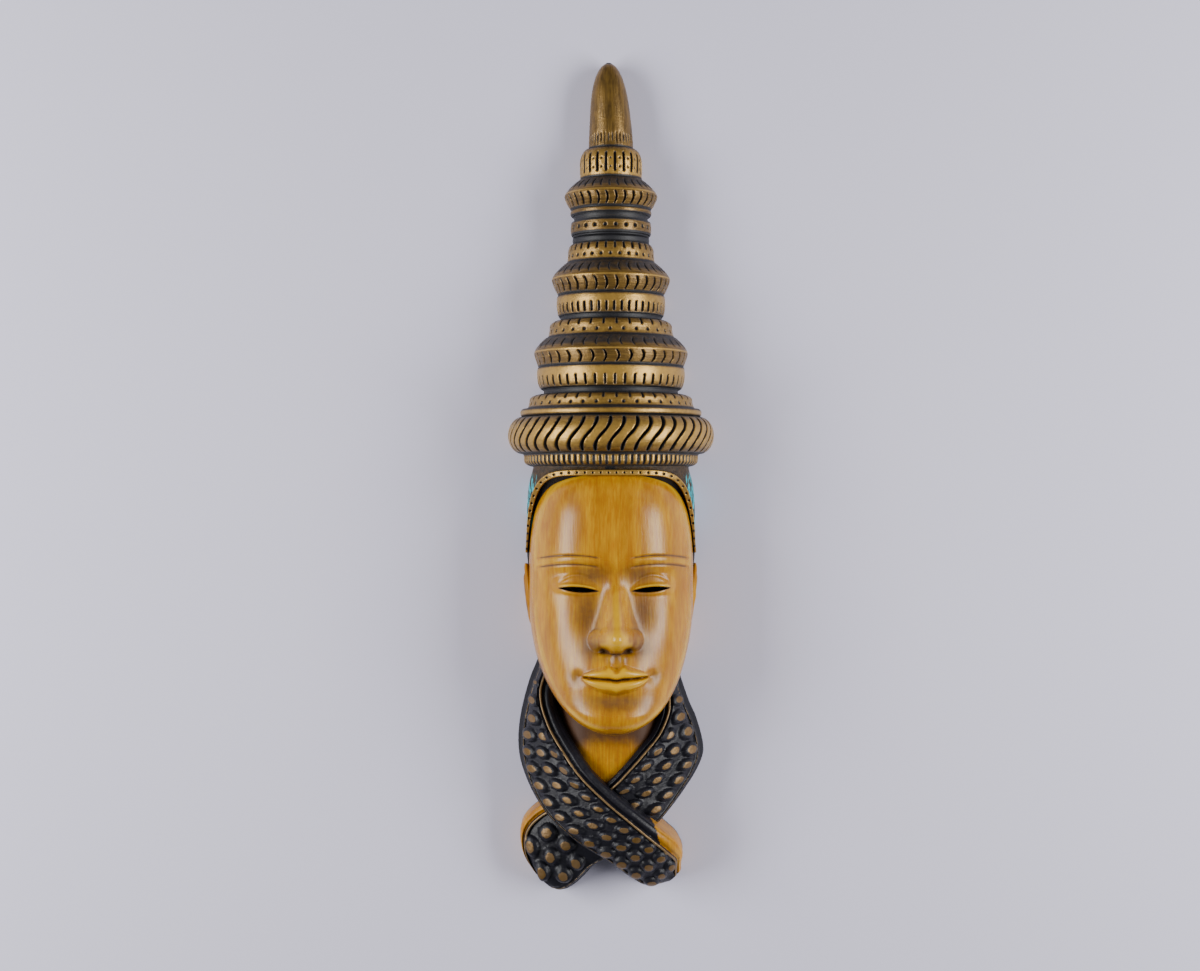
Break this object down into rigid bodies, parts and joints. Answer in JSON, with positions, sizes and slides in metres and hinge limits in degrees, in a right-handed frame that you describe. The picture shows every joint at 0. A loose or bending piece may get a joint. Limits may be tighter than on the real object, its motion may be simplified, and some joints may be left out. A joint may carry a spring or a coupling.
{
  "type": "decorative wall mask",
  "caption": "Tall cast wall mask: calm face with lowered lids, tiered ring headdress with a horn tip, studded scarf crossed at the neck; hollow behind, flat back.",
  "frame": {"origin": "bottom centre of the bounding box: on the flat back plane, halfway along the height and the width", "axes": "the mask lies on its back. +Z out of the back towards the viewer, +Y towards the tip of the headdress, +X to the viewer's right"},
  "size_m": [0.1348, 0.5424, 0.089],
  "materials": {
    "antiqued_ochre": "ochre paint over cast resin, vertical brush streaks, brown wash in the recesses, satin varnish",
    "dry_brushed_bronze": "bronze paint dry-brushed over black, gold on the edges, black in the grooves",
    "scarf_black": "blue-black paint, semi-gloss, bronze rubbed on the domes and ribs",
    "turquoise_wash": "scratchy turquoise brush strokes on the cap"
  },
  "bodies": {
    "root": {"cast_mask": "antiqued_ochre"}
  },
  "joints": []
}
